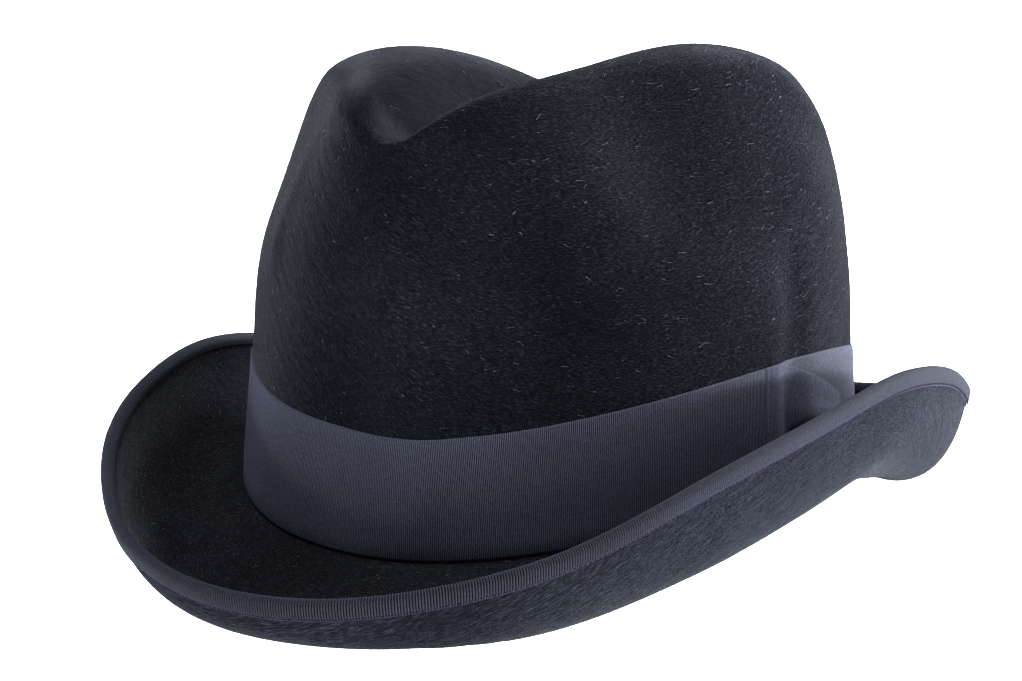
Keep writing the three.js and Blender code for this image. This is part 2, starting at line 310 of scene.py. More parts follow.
# Colours, and how light each ribbon and fibre is against its colours. Several of these make one
# material lighter or darker in places, as painted light and painted shade.
FELT_DARK = (0.0012, 0.0013, 0.0018)
FELT_MID = (0.0046, 0.0050, 0.0070)
FELT_PALE = (0.020, 0.022, 0.030)
FELT_SHEEN = (0.68, 0.73, 0.84)
# Painted light: the felt's inner skin, with the brim's underside, is made lighter and bluer than
# the outer skin.
UNDER_PAINTED_LIGHT = (1.3, 1.35, 1.45)
FIBRE = (0.0152, 0.0157, 0.0180)
# Painted light: the brim's fibres are about three times as light as the crown's, and the
# underside's are lighter and bluer.
FIBRE_BRIM_PAINTED_LIGHT = (0.050, 0.051, 0.053)
FIBRE_UNDER_PAINTED_LIGHT = (0.0165, 0.0178, 0.0230)
STRAY = (0.20, 0.215, 0.23)
FIBRE_LIGHTEST = 2.4
FIBRE_DARKEST = 0.15
# Painted shade: the grooves between the ribs, and the selvedges of the bow's pieces, take this
# near-black colour.
RIBBON_GROOVE_PAINTED_SHADE = (0.004, 0.004, 0.008)
RIBBON_DARK = (0.030, 0.033, 0.048)
RIBBON_PALE = (0.074, 0.082, 0.118)
RIBBON_SHEEN = (0.6, 0.68, 0.9)
RIBBON_WEAVE = (3.0, 1.2, 0)
# The band, the binding and the bow share the ribbon's colours: the binding's is made darker as
# painted shade and the bow's lighter as painted light.
BAND_TONE = 0.7
BINDING_PAINTED_SHADE = 0.3
BOW_PAINTED_LIGHT = 1.4
THREAD_DARK = (0.007, 0.004, 0.014)
THREAD_PALE = (0.022, 0.013, 0.040)


def read_table(rows, key, column, value, flat_ends=False):
    """A smooth curve through a table's rows: key is the column that rises, column the one read."""
    keys, values = rows[key], rows[column]
    last = len(keys) - 1
    before = np.maximum(np.arange(last + 1) - 1, 0)
    after = np.minimum(np.arange(last + 1) + 1, last)
    slopes = (values[after] - values[before]) / (keys[after] - keys[before])
    if flat_ends:
        slopes[[0, last]] = 0
    row = np.clip(np.searchsorted(keys, value) - 1, 0, last - 1)
    span = keys[row + 1] - keys[row]
    t = np.clip((value - keys[row]) / span, 0, 1)
    start = values[row]
    change = values[row + 1] - start
    leave = slopes[row] * span
    arrive = slopes[row + 1] * span
    return (
        start
        + t * leave
        + t**2 * (3 * change - 2 * leave - arrive)
        + t**3 * (leave + arrive - 2 * change)
    )


def smooth(share):
    return share * share * (3 - 2 * share)


def bell(offset, spread):
    return np.exp(-((offset / spread) ** 2))


def mix(start, end, share):
    return start + (end - start) * share


def wrapped(angle):
    """The same angle between half a turn back and half a turn on."""
    return (angle + math.pi) % (2 * math.pi) - math.pi


def unit(vectors):
    return vectors / np.maximum(np.linalg.norm(vectors, axis=-1, keepdims=True), 1e-12)


def oval_point(length, width, roundness, phi):
    """phi runs from the front, positive towards the wearer's left."""
    across = np.abs(np.sin(phi) / (width / 2)) ** roundness
    along = np.abs(np.cos(phi) / (length / 2)) ** roundness
    reach = (across + along) ** (-1 / roundness)
    return reach * np.sin(phi), -reach * np.cos(phi)


def foot_point(phi):
    x, y = oval_point(HEAD_LENGTH, HEAD_WIDTH, HEAD_ROUNDNESS, phi)
    x = x * (1 + HEAD_EGG * y / (HEAD_LENGTH / 2))
    return x, y, HEAD_LINE_HEIGHT - HEAD_LINE_SAG * np.cos(2 * phi)


def fine_forms(phi, rise):
    """How far the crown's fine ridges and hollows stand out, with a slight unevenness."""
    total = np.zeros_like(rise, dtype=float)
    for high, low, high_angle, low_angle, spread, fade, height in zip(*CROWN_FORMS.values()):
        share = np.clip((rise - low) / (high - low), 0, 1)
        angle = np.radians(mix(low_angle, high_angle, share))
        begins = smooth(np.clip((rise - low) / fade, 0, 1))
        ends = smooth(np.clip((high - rise) / fade, 0, 1))
        gap = wrapped(phi - angle)
        total = total + height * bell(gap, math.radians(spread)) * (begins * ends)
    uneven = sum(
        np.sin(turns * phi + climb * rise + start) * height
        for turns, climb, start, height in zip(*UNEVEN_WAVES.values())
    )
    return total + UNEVEN_HEIGHT * uneven * smooth(np.clip(rise / UNEVEN_START, 0, 1))


def crown_point(phi, level):
    phi, level = np.broadcast_arrays(phi, level)
    rise = read_table(CROWN_SECTIONS, "level", "rise", level)
    foot_x, foot_y, foot_z = foot_point(phi)
    front = smooth((1 + np.cos(phi)) / 2)
    side = read_table(CROWN_SECTIONS, "level", "side", level)
    front_reach = read_table(CROWN_SECTIONS, "level", "front", level)
    back_reach = read_table(CROWN_SECTIONS, "level", "back", level)
    turned = wrapped(phi)
    behind = np.abs(turned) - np.radians(PINCH_ANGLE + PINCH_LEAN * (PINCH_LEVEL - rise))
    spread = np.radians(np.where(behind < 0, PINCH_FRONT_SPREAD, PINCH_BACK_SPREAD))
    pinch = PINCH_DEPTH / (HEAD_WIDTH / 2) * bell(behind, spread)
    pinch = pinch * bell(rise - PINCH_LEVEL, PINCH_TALL)
    prow_angle = np.radians(mix(PROW_FOOT_ANGLE, PROW_TOP_ANGLE, rise))
    prow = (
        PROW_HEIGHT
        / (HEAD_LENGTH / 2)
        * bell(turned - prow_angle, math.radians(PROW_SPREAD))
        * smooth(np.clip(rise / PROW_START, 0, 1))
    )
    share = 1 - pinch + prow + fine_forms(turned, rise) / (HEAD_LENGTH / 2)
    x = foot_x * side * share
    y = foot_y * mix(back_reach, front_reach, front) * share
    along = y / (HEAD_LENGTH / 2)
    top = HEAD_LINE_HEIGHT + CROWN_TILT * x
    top = top + read_table(CREASE_SECTIONS, "along", "top", along) * CROWN_HEIGHT
    half = read_table(CREASE_SECTIONS, "along", "half", along) * HEAD_WIDTH / 2
    depth = read_table(CREASE_SECTIONS, "along", "depth", along) * CROWN_HEIGHT
    shift = read_table(CREASE_SECTIONS, "along", "shift", along) * HEAD_WIDTH / 2
    dent = depth * np.exp(-(np.abs((x - shift) / half) ** CREASE_EDGE)) * rise**CREASE_FADE
    return np.stack([x, y - HEAD_FORWARD, mix(foot_z, top, rise) - dent], -1)


def brim_point(phi, out):
    """The upper face of the brim. out runs from 0 at the foot of the crown to 1 at the edge."""
    phi, out = np.broadcast_arrays(phi, out)
    foot_x, foot_y, foot_z = foot_point(phi)
    foot_y = foot_y - HEAD_FORWARD
    edge_x, edge_y = oval_point(BRIM_LENGTH, BRIM_WIDTH, BRIM_ROUNDNESS, phi)
    edge_x = edge_x * (1 + BRIM_EGG * edge_y / (BRIM_LENGTH / 2))
    angle = np.abs(np.degrees(wrapped(phi)))
    inner, outer, edge, bulge = (
        read_table(BRIM_SECTIONS, "angle", column, angle, True)
        for column in ("inner", "outer", "edge", "bulge")
    )
    heights = (
        foot_z,
        inner * BRIM_SIDE_RISE,
        outer * BRIM_SIDE_RISE - BRIM_LEFT_SAG * np.sin(phi) - BRIM_TWIST * np.sin(2 * phi),
        edge * BRIM_SIDE_RISE + BRIM_LEFT_LIFT * np.sin(phi),
    )
    reaches = (0, BRIM_INNER_HANDLE, bulge, 1)
    weights = ((1 - out) ** 3, 3 * out * (1 - out) ** 2, 3 * out**2 * (1 - out), out**3)
    reach = sum(weight * value for weight, value in zip(weights, reaches))
    height = sum(weight * value for weight, value in zip(weights, heights))
    return np.stack([mix(foot_x, edge_x, reach), mix(foot_y, edge_y, reach), height], -1)


def inverted_brim(phi, share):
    """The brim read from its edge inwards, so that shares run towards the top of the hat."""
    return brim_point(phi, 1 - share)


def place_on(surface, phi, share):
    """Points of a surface, the directions out of the felt and the directions to the top."""
    phi, share = np.broadcast_arrays(phi, share)
    before = np.maximum(share - DERIVATIVE_STEP, 0)
    after = np.minimum(share + DERIVATIVE_STEP, 1)
    round_it = surface(phi + DERIVATIVE_STEP, share) - surface(phi - DERIVATIVE_STEP, share)
    up = surface(phi, after) - surface(phi, before)
    return surface(phi, share), unit(np.cross(round_it, up)), unit(up)


def out_at_distance(phi, distance):
    """How far out the brim is, as brim_point reads it, at distances from its edge."""
    outs = np.linspace(1, 0, BRIM_PROBES + 1)
    points = brim_point(np.ravel(phi)[:, None], outs)
    steps = np.linalg.norm(np.diff(points, axis=1), axis=-1)
    covered = np.concatenate([np.zeros((len(points), 1)), np.cumsum(steps, 1)], 1)
    distances = np.broadcast_to(distance, np.shape(phi)).ravel()
    found = [np.interp(want, row, outs) for want, row in zip(distances, covered)]
    return np.array(found).reshape(np.shape(phi))


RISE_PROBES = np.linspace(0, 1, RISE_PROBE_COUNT)
RISES = read_table(CROWN_SECTIONS, "level", "rise", RISE_PROBES)


def level_at_height(phi, height):
    """The crown level that lies at a height over the foot of the crown."""
    foot_z = foot_point(phi)[2]
    return np.interp(height / (HEAD_LINE_HEIGHT + CROWN_HEIGHT - foot_z), RISES, RISE_PROBES)


def crown_places(phi, height):
    return place_on(crown_point, phi, level_at_height(phi, height))


def stations(count):
    even = -math.pi + 2 * math.pi * np.arange(count) / count
    return even - STATION_CROWDING * np.sin(2 * even)


def ring_faces(rings, columns, closed_rings=False):
    """Quads between rings of points that each close on themselves."""
    ring = np.arange(rings if closed_rings else rings - 1)[:, None]
    index = np.arange(columns)[None, :]
    base, beside = ring * columns, (index + 1) % columns
    above = ((ring + 1) % rings) * columns
    quads = np.stack([base + index, base + beside, above + beside, above + index], -1)
    return quads.reshape(-1, 4)


def make_mesh(name, points, quads=None, triangles=None):
    """A mesh object in metres from points in millimetres."""
    mesh = bpy.data.meshes.new(name)
    faces = []
    if quads is not None:
        faces += np.asarray(quads).tolist()
    if triangles is not None:
        faces += np.asarray(triangles).tolist()
    mesh.from_pydata((np.asarray(points).reshape(-1, 3) * MM).tolist(), [], faces)
    mesh.polygons.foreach_set("use_smooth", [True] * len(mesh.polygons))
    mesh.update()
    piece = bpy.data.objects.new(name, mesh)
    bpy.context.scene.collection.objects.link(piece)
    return piece


def add_flow(piece, flow):
    """Stores where each point lies along and across the nap or the weave, in millimetres."""
    attribute = piece.data.attributes.new("flow", "FLOAT_VECTOR", "POINT")
    attribute.data.foreach_set("vector", np.asarray(flow, np.float32).ravel())


def dress(piece, material):
    piece.data.materials.append(material)
    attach(piece, "root")


# Felt skins

def sway(phi):
    """How far up the hat the nap's streaks swing at an angle."""
    return NAP_SWAY * FLOW_RADIUS * np.sin(phi - math.radians(NAP_SWAY_ANGLE))


def flow_at(phi, climb):
    """The nap's own coordinates: round the hat in x and y, and across the streaks in z."""
    phi, climb = np.broadcast_arrays(phi, climb)
    return np.stack(
        [FLOW_RADIUS * np.cos(phi), FLOW_RADIUS * np.sin(phi), climb - sway(phi)], -1
    )


def climbs(points):
    """Distances along each column of points, from its first point."""
    steps = np.linalg.norm(np.diff(points, axis=0), axis=-1)
    return np.concatenate([np.zeros((1,) + steps.shape[1:]), np.cumsum(steps, 0)], 0)


def felt_rows():
    """The outer skin's places by row, from the edge of the brim to just below the crown's pole."""
    phi = stations(FELT_STATIONS)
    shares = np.linspace(0, 1, FELT_BRIM_ROWS + 1)
    brim = [place_on(inverted_brim, phi, np.full_like(phi, share)) for share in shares[:-1]]
    foot, foot_normal, _ = place_on(crown_point, phi, np.zeros_like(phi))
    brim_normal = place_on(inverted_brim, phi, np.ones_like(phi))[1]
    joint = [(foot, unit(foot_normal + brim_normal))]
    levels = np.linspace(0, 1, FELT_CROWN_ROWS + 1)[1:-1]
    crown = [place_on(crown_point, phi, np.full_like(phi, level)) for level in levels]
    rows = brim + joint + crown
    return phi, np.stack([row[0] for row in rows]), np.stack([row[1] for row in rows])


def felt_skins(outer, normals):
    """The outer and the inner skin, pressed flat where the felt meets the floor."""
    inner = outer - normals * FELT_WALL
    lowest = np.array([-np.inf, -np.inf, 0])
    return np.maximum(outer, lowest + [0, 0, FELT_WALL]), np.maximum(inner, lowest)


def felt_body():
    """Crown and brim as one shell."""
    phi, outer, normals = felt_rows()
    climb = climbs(outer)
    climb -= climb[FELT_BRIM_ROWS]
    outer_flow = flow_at(phi, climb)
    inner_flow = outer_flow + [0, 0, INNER_SKIN_FLOW]
    outer, inner = felt_skins(outer, normals)
    top = crown_point(0.0, 1.0)
    points = np.concatenate([inner[::-1].reshape(-1, 3), outer.reshape(-1, 3)])
    rings = 2 * len(outer)
    columns = len(phi)
    below, above = len(points), len(points) + 1
    points = np.concatenate([points, [top - [0, 0, FELT_WALL], top]])
    flow = np.concatenate([inner_flow[::-1].reshape(-1, 3), outer_flow.reshape(-1, 3)])
    flow = np.concatenate([flow, [inner_flow[-1].mean(0), outer_flow[-1].mean(0)]])
    index = np.arange(columns)
    beside = (index + 1) % columns
    last = (rings - 1) * columns
    caps = np.concatenate(
        [
            np.stack([np.full(columns, below), beside, index], -1),
            np.stack([np.full(columns, above), last + index, last + beside], -1),
        ]
    )
    piece = make_mesh("felt", points, ring_faces(rings, columns), caps)
    add_flow(piece, flow)
    return piece


# Ribbons

def ribbed(count, pitch, height):
    """Where the ribs' samples lie along a ribbon, and how far each stands out."""
    share = (np.arange(count)[:, None] + np.array(RIB_SAMPLES)[None, :]).ravel()
    return share * pitch, height * np.abs(np.sin(math.pi * share)) ** RIB_CURVE


def angles_along(lengths, place):
    """The angles at which a closed line round the hat has run these lengths."""
    phi = np.linspace(-math.pi, math.pi, LINE_PROBES)
    run = climbs(place(phi))
    return np.interp(lengths, run, phi)


def ribbon_line(phi):
    return crown_places(phi, np.full_like(phi, RIBBON_HEIGHT / 2))[0]


def edge_line(phi):
    return brim_point(phi, np.ones_like(phi))


def line_length(place):
    return float(climbs(place(np.linspace(-math.pi, math.pi, LINE_PROBES)))[-1])


def ribbon_band():
    length = line_length(ribbon_line)
    count = round(length / RIB_PITCH)
    run, stand = ribbed(count, length / count, RIB_HEIGHT)
    phi = angles_along(run, ribbon_line)
    inside = np.linspace(RIBBON_FOOT + SELVEDGE, RIBBON_HEIGHT - SELVEDGE, BAND_ROWS)
    heights = np.concatenate([[RIBBON_FOOT], inside, [RIBBON_HEIGHT]])
    rows, flows = [], []
    for index, height in enumerate(heights):
        point, normal, _ = crown_places(phi, np.full_like(phi, height))
        edge = index in (0, len(heights) - 1)
        out = RIBBON_GAP + RIBBON_WALL - RIB_HEIGHT + stand * (SELVEDGE_RIBS if edge else 1)
        out = out - (SELVEDGE_SINK if edge else 0)
        rows.append(point + normal * out[:, None])
        flows.append(np.stack([run, np.full_like(run, height), run * count / length], -1))
    for height in (RIBBON_HEIGHT, RIBBON_FOOT):
        point, normal, _ = crown_places(phi, np.full_like(phi, height))
        rows.append(point + normal * RIBBON_GAP)
        flows.append(flows[-1])
    quads = ring_faces(len(rows), len(phi), True)
    piece = make_mesh("band", np.stack(rows), quads)
    add_flow(piece, np.stack(flows))
    return piece, length


def binding_section(phi, clearance, stand, unders, turns):
    """The section of the binding round the edge of the brim, from under it to over it. unders
    holds, for each lower row, its distance from the edge, the share of the ribs that shows on it
    and how far it sinks."""
    path = []
    for distance, share, sink in unders:
        out = out_at_distance(phi, np.full_like(phi, distance))
        point, normal, _ = place_on(inverted_brim, phi, 1 - out)
        path.append(point - normal * (FELT_WALL + clearance - sink + stand * share)[:, None])
    edge, edge_normal, edge_up = place_on(inverted_brim, phi, np.zeros_like(phi))
    middle = edge - edge_normal * FELT_WALL / 2
    radius = FELT_WALL / 2 + (clearance + stand)[:, None]
    for turn in np.linspace(0, math.pi, turns):
        path.append(middle - radius * (edge_normal * math.cos(turn) + edge_up * math.sin(turn)))
    out = out_at_distance(phi, np.full_like(phi, BINDING_OVER))
    point, normal, _ = place_on(inverted_brim, phi, 1 - out)
    path.append(point + normal * (clearance + stand)[:, None])
    return path


def brim_binding():
    length = line_length(edge_line)
    count = round(length / BINDING_RIB_PITCH)
    run, stand = ribbed(count, length / count, BINDING_RIB_HEIGHT)
    phi = angles_along(run, edge_line)
    wall = np.full_like(phi, BINDING_GAP + BINDING_WALL - BINDING_RIB_HEIGHT)
    seam = BINDING_UNDER - STITCH_INSET
    outer = binding_section(phi, wall, stand, [
        (BINDING_UNDER, BINDING_EDGE_RIBS, BINDING_EDGE_SINK),
        (seam, SEAM_RIBS, SEAM_SINK),
        (seam - SEAM_WIDTH, 1, 0),
        (seam / 2, 1, 0),
    ], BINDING_TURNS)
    gap = np.full_like(phi, BINDING_GAP)
    inner = binding_section(
        phi, gap, 0 * stand, [(BINDING_UNDER, 1, 0)], BINDING_INNER_TURNS
    )
    across = list(climbs(np.stack(outer)).mean(1)) + list(climbs(np.stack(inner)).mean(1))[::-1]
    rows = outer + inner[::-1]
    ribs = run * count / length
    flows = [np.stack([run, np.full_like(run, place), ribs], -1) for place in across]
    piece = make_mesh("binding", np.stack(rows), ring_faces(len(rows), len(phi), True))
    add_flow(piece, np.stack(flows))
    return piece, length


def sheet_over_ribbon(name, start, end, lower, upper, section, rows, wall):
    """A ribbed piece of ribbon over the band on the wearer's left. section turns shares along and
    across the piece into a share of its height and a distance off the band."""
    count = round((end - start) / RIB_PITCH)
    run, stand = ribbed(count, (end - start) / count, RIB_HEIGHT)
    run = np.append(run + start, end)
    stand = np.append(stand, 0)
    share = ((run - start) / (end - start))[None, :]
    phi = np.broadcast_to(math.radians(BOW_ANGLE) + run / (HEAD_LENGTH / 2), (rows, len(run)))
    inside = np.linspace(SELVEDGE_SHARE, 1 - SELVEDGE_SHARE, rows - 2)
    across, off = section(share, np.concatenate([[0], inside, [1]])[:, None])
    height = mix(lower(share), upper(share), across)
    point, normal, _ = crown_places(phi, height)
    inner = point + normal * (ON_RIBBON + off)[..., None]
    out = unit(np.cross(np.gradient(inner, axis=1), np.gradient(inner, axis=0)))
    outer = inner + out * np.maximum(wall(share) - RIB_HEIGHT + stand, MIN_WALL)[..., None]
    width = float(climbs(inner)[-1].mean())
    index = np.arange(inner[..., 0].size).reshape(rows, -1)
    under = index + index.size
    faces = [
        grid_quads(index[:-1, :-1], index[:-1, 1:], index[1:, 1:], index[1:, :-1]),
        grid_quads(under[:-1, :-1], under[1:, :-1], under[1:, 1:], under[:-1, 1:]),
        grid_quads(index[0, :-1], under[0, :-1], under[0, 1:], index[0, 1:]),
        grid_quads(index[-1, :-1], index[-1, 1:], under[-1, 1:], under[-1, :-1]),
        grid_quads(index[:-1, 0], index[1:, 0], under[1:, 0], under[:-1, 0]),
        grid_quads(index[:-1, -1], under[:-1, -1], under[1:, -1], index[1:, -1]),
    ]
    points = np.concatenate([outer.reshape(-1, 3), inner.reshape(-1, 3)])
    piece = make_mesh(name, points, np.concatenate(faces))
    # The cut ends are as pale as a rib's crest. The selvedges are painted as dark as a groove, a
    # painted shadow line along the edges of the wing and the wrap.
    ribs = (run - start) * count / (end - start) + 0.5
    flow = np.stack(np.broadcast_arrays(run, climbs(inner), ribs), -1)
    flow[[0, -1], :, 2] = 0
    flow = flow.reshape(-1, 3)
    add_flow(piece, np.concatenate([flow, flow]))
    return piece, (max(end - start, MIN_FLAT) * MM, width * MM)


def grid_quads(a, b, c, d):
    return np.stack([np.ravel(corner) for corner in (a, b, c, d)], -1)


def bow_tail():
    def lower(share):
        return RIBBON_FOOT + TAIL_LIFT_START + TAIL_RISE * smooth(share)

    def upper(share):
        return RIBBON_HEIGHT - TAIL_INSET - TAIL_DROP * share**TAIL_DROP_POWER

    def section(share, row):
        opened = smooth(np.clip(share / TAIL_OPENS, 0, 1))
        height = read_table(WING_SECTIONS, "row", "height", row)
        height = mix(row, height, mix(TAIL_GATHER, 1, opened))
        stand = read_table(WING_SECTIONS, "row", "stand", row) * opened * (1 - TAIL_SINKS * share)
        return height, stand + TAIL_STAND * share

    start = KNOT_WIDTH / 2 + RIBBON_GAP
    return sheet_over_ribbon(
        "bow_wing", start, TAIL_LENGTH, lower, upper, section, WING_ROWS,
        lambda share: np.full_like(share, RIBBON_WALL),
    )


def bow_knot():
    def wall(share):
        swell = np.sin(math.pi * share) ** KNOT_CURVE
        return mix(KNOT_FRONT_WALL, KNOT_BACK_WALL, share) + (KNOT_WALL - KNOT_BACK_WALL) * swell

    half = KNOT_WIDTH / 2
    return sheet_over_ribbon(
        "bow_wrap", -half, half,
        lambda share: np.full_like(share, RIBBON_FOOT),
        lambda share: np.full_like(share, RIBBON_HEIGHT + KNOT_STAND),
        lambda share, row: np.broadcast_arrays(row, np.zeros_like(share)), KNOT_ROWS, wall,
    )


# Stitches

def capsules(name, starts, ends, outs, radius):
    """Short round threads from starts to ends that bow out in the middle."""
    along = unit(ends - starts)
    across = unit(np.cross(along, outs))
    up = np.cross(across, along)
    rings = []
    for share, width, rise in STITCH_PROFILE:
        centre = mix(starts, ends, share) + outs * radius * rise
        turns = 2 * math.pi * np.arange(STITCH_SIDES) / STITCH_SIDES
        ring = [
            centre + radius * width * (across * math.cos(turn) + up * math.sin(turn))
            for turn in turns
        ]
        rings.append(np.stack(ring, 1))
    points = np.stack(rings, 1)
    count = len(starts)
    per = len(STITCH_PROFILE) * STITCH_SIDES
    base = (np.arange(count) * per)[:, None, None]
    quads = (ring_faces(len(STITCH_PROFILE), STITCH_SIDES)[None] + base).reshape(-1, 4)
    fan = np.array([[0, index + 1, index] for index in range(1, STITCH_SIDES - 1)])
    lid = fan[:, [0, 2, 1]] + per - STITCH_SIDES
    triangles = (np.concatenate([fan, lid])[None] + base).reshape(-1, 3)
    return make_mesh(name, points, quads, triangles)


def binding_stitches():
    """One row of stitches just inside the binding's outer edge."""
    length = line_length(edge_line)
    count = round(length / STITCH_PITCH)
    run = np.arange(count) * length / count
    ends = []
    for shift in (0, STITCH_LENGTH):
        phi = angles_along(run + shift, edge_line)
        out = out_at_distance(phi, np.full_like(phi, BINDING_UNDER - STITCH_INSET))
        point, normal, _ = place_on(inverted_brim, phi, 1 - out)
        reach = FELT_WALL + BINDING_GAP + BINDING_WALL - SEAM_SINK
        ends.append((point - normal * reach, -normal))
    return capsules("stitches", ends[0][0], ends[1][0], ends[0][1], STITCH_THICKNESS / 2)


# Nap

def scatter(generator, points, count, weights):
    """Random places on a grid of points: rows, columns and shares within the cell."""
    cells = weights[:-1] + weights[1:]
    area = np.linalg.norm(
        np.cross(
            points[1:] - points[:-1],
            np.roll(points, -1, 1)[:-1] - points[:-1],
        ),
        axis=-1,
    )
    chance = (area * cells).ravel()
    chosen = generator.choice(len(chance), count, p=chance / chance.sum())
    rows, columns = np.unravel_index(chosen, area.shape)
    return rows, columns, generator.random((2, count))


def spikes(name, roots, tips, width):
    """Closed three-sided spikes from roots to tips."""
    along = unit(tips - roots)
    helper = np.where(np.abs(along[:, 2:3]) > 0.9, [[1.0, 0, 0]], [[0, 0, 1.0]])
    across = unit(np.cross(along, helper))
    up = np.cross(across, along)
    corners = [
        roots + width[:, None] / 2 * (across * math.cos(turn) + up * math.sin(turn))
        for turn in (0, 2 * math.pi / 3, 4 * math.pi / 3)
    ]
    points = np.stack(corners + [tips], 1)
    base = (np.arange(len(roots)) * 4)[:, None, None]
    faces = np.array([[0, 2, 1], [0, 1, 3], [1, 2, 3], [2, 0, 3]])[None] + base
    return make_mesh(name, points, triangles=faces.reshape(-1, 3))


def nap(name, seed, skin, normals, phi, count, weights, length, width, lift):
    """Fibres that lie along the nap's flow on a skin and lift off it a little."""
    generator = np.random.default_rng(seed)
    rows, columns, inside = scatter(generator, skin, count, weights)
    beside = (columns + 1) % skin.shape[1]

    def at(grid):
        lower = mix(grid[rows, columns], grid[rows, beside], inside[0][:, None])
        upper = mix(grid[rows + 1, columns], grid[rows + 1, beside], inside[0][:, None])
        return mix(lower, upper, inside[1][:, None])

    root = at(skin)
    normal = unit(at(normals))
    round_it = unit(skin[rows, beside] - skin[rows, columns])
    up = unit(skin[rows + 1, columns] - skin[rows, columns])
    slope = NAP_SWAY * np.cos(phi[columns] - math.radians(NAP_SWAY_ANGLE))
    slope = slope + generator.normal(0, NAP_TURN, count)
    flow = unit(round_it + up * slope[:, None])
    angle = np.radians(lift * generator.uniform(*NAP_LIFT_RANGE, count))[:, None]
    direction = flow * np.cos(angle) + normal * np.sin(angle)
    reach = length * generator.uniform(*NAP_LENGTH_RANGE, count)[:, None]
    tip = root + direction * reach
    root = root - normal * width
    tip[:, 2] = np.maximum(tip[:, 2], NAP_FLOOR_GAP)
    root[:, 2] = np.maximum(root[:, 2], NAP_FLOOR_GAP)
    return spikes(name, root, tip, width * generator.uniform(*NAP_WIDTH_RANGE, count))


# Materials

class Shader:
    """A matt material with a soft sheen, whose nodes are added one after another."""

    def __init__(self, name, roughness, sheen, sheen_roughness, sheen_tint, specular):
        self.material = bpy.data.materials.new(name)
        self.material.use_nodes = True
        self.nodes = self.material.node_tree.nodes
        self.links = self.material.node_tree.links
        self.surface = self.nodes["Principled BSDF"]
        self.surface.inputs["Roughness"].default_value = roughness
        self.surface.inputs["Sheen Weight"].default_value = sheen
        self.surface.inputs["Sheen Roughness"].default_value = sheen_roughness
        self.surface.inputs["Sheen Tint"].default_value = (*sheen_tint, 1)
        self.surface.inputs["Specular IOR Level"].default_value = specular

    def add(self, kind, **values):
        node = self.nodes.new(kind)
        for key, value in values.items():
            setattr(node, key, value)
        return node

    def stored_flow(self):
        return self.add("ShaderNodeAttribute", attribute_name="flow").outputs["Vector"]

    def scaled(self, vector, scale):
        stretch = self.add("ShaderNodeVectorMath", operation="MULTIPLY")
        stretch.inputs[1].default_value = scale
        self.links.new(vector, stretch.inputs[0])
        return stretch.outputs[0]

    def flow(self, scale):
        """The stored flow coordinates, each multiplied by its scale."""
        return self.scaled(self.stored_flow(), scale)

    def place(self, scale):
        """The object's own coordinates in metres, multiplied by one scale."""
        return self.scaled(self.add("ShaderNodeTexCoord").outputs["Object"], (scale,) * 3)

    def flow_third(self):
        parts = self.add("ShaderNodeSeparateXYZ")
        self.links.new(self.stored_flow(), parts.inputs[0])
        return parts.outputs["Z"]

    def reckon(self, operation, value, other=None):
        step = self.add("ShaderNodeMath", operation=operation)
        self.links.new(value, step.inputs[0])
        if other is not None:
            step.inputs[1].default_value = other
        return step.outputs[0]

    def noise(self, vector, detail, roughness=0.5):
        node = self.add("ShaderNodeTexNoise")
        node.inputs["Scale"].default_value = 1
        node.inputs["Detail"].default_value = detail
        node.inputs["Roughness"].default_value = roughness
        self.links.new(vector, node.inputs["Vector"])
        return node.outputs["Fac"]

    def ramp(self, value, *stops):
        node = self.add("ShaderNodeValToRGB")
        ramp = node.color_ramp
        while len(ramp.elements) < len(stops):
            ramp.elements.new(0.5)
        for element, (place, colour) in zip(ramp.elements, stops):
            element.position = place
            element.color = (*colour, 1)
        self.links.new(value, node.inputs["Fac"])
        return node.outputs["Color"]

    def rib_crest(self):
        """1 on the crest of a rib and 0 in the groove between two, from the flow's rib count."""
        wave = self.reckon("SINE", self.reckon("MULTIPLY", self.flow_third(), math.pi))
        return self.reckon("ABSOLUTE", wave)

    def underside(self):
        """1 on the inner skin and 0 on the outer one, which the flow's third part tells apart."""
        return self.reckon("GREATER_THAN", self.flow_third(), INNER_SKIN_MARK)

    def plain(self, colour):
        node = self.add("ShaderNodeRGB")
        node.outputs[0].default_value = (*colour, 1)
        return node.outputs[0]

    def blend(self, first, second, share, mode="MIX"):
        node = self.add("ShaderNodeMix", data_type="RGBA", blend_type=mode)
        if isinstance(share, float):
            node.inputs[0].default_value = share
        else:
            self.links.new(share, node.inputs[0])
        self.links.new(first, node.inputs[6])
        self.links.new(second, node.inputs[7])
        return node.outputs[2]

    def colour(self, value):
        self.links.new(value, self.surface.inputs["Base Color"])

    def bump(self, height, distance, strength, after=None):
        node = self.add("ShaderNodeBump")
        node.inputs["Strength"].default_value = strength
        node.inputs["Distance"].default_value = distance
        self.links.new(height, node.inputs["Height"])
        if after is not None:
            self.links.new(after, node.inputs["Normal"])
        return node.outputs["Normal"]

    def normal(self, value):
        self.links.new(value, self.surface.inputs["Normal"])


